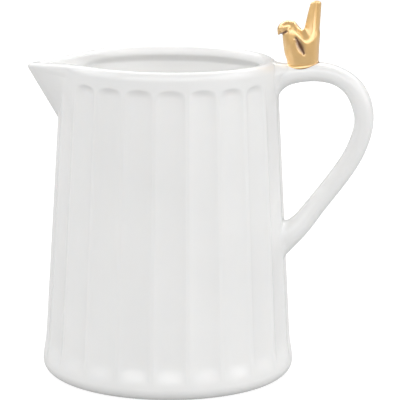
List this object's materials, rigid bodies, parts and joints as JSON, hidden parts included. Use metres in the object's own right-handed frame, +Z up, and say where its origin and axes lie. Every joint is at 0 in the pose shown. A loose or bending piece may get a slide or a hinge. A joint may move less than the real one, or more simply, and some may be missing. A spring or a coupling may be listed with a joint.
{
  "type": "cream jug",
  "caption": "Fluted porcelain cream jug with a pouring spout, a looped handle and a gilded bird perched on the handle.",
  "frame": {"origin": "centre of the foot on the table", "axes": "+Z up along the axis of the body, +X toward the handle and bird, -X toward the spout, the plane Y = 0 is the mirror plane"},
  "size_m": [0.1147, 0.084, 0.125],
  "materials": {
    "porcelain": "gloss",
    "gold_lustre": "polished"
  },
  "bodies": {
    "root": {"jug_body": "porcelain", "handle": "porcelain", "upper_handle_slip": "porcelain", "lower_handle_slip": "porcelain", "bird": "gold_lustre", "bird_slip": "gold_lustre"}
  },
  "joints": []
}
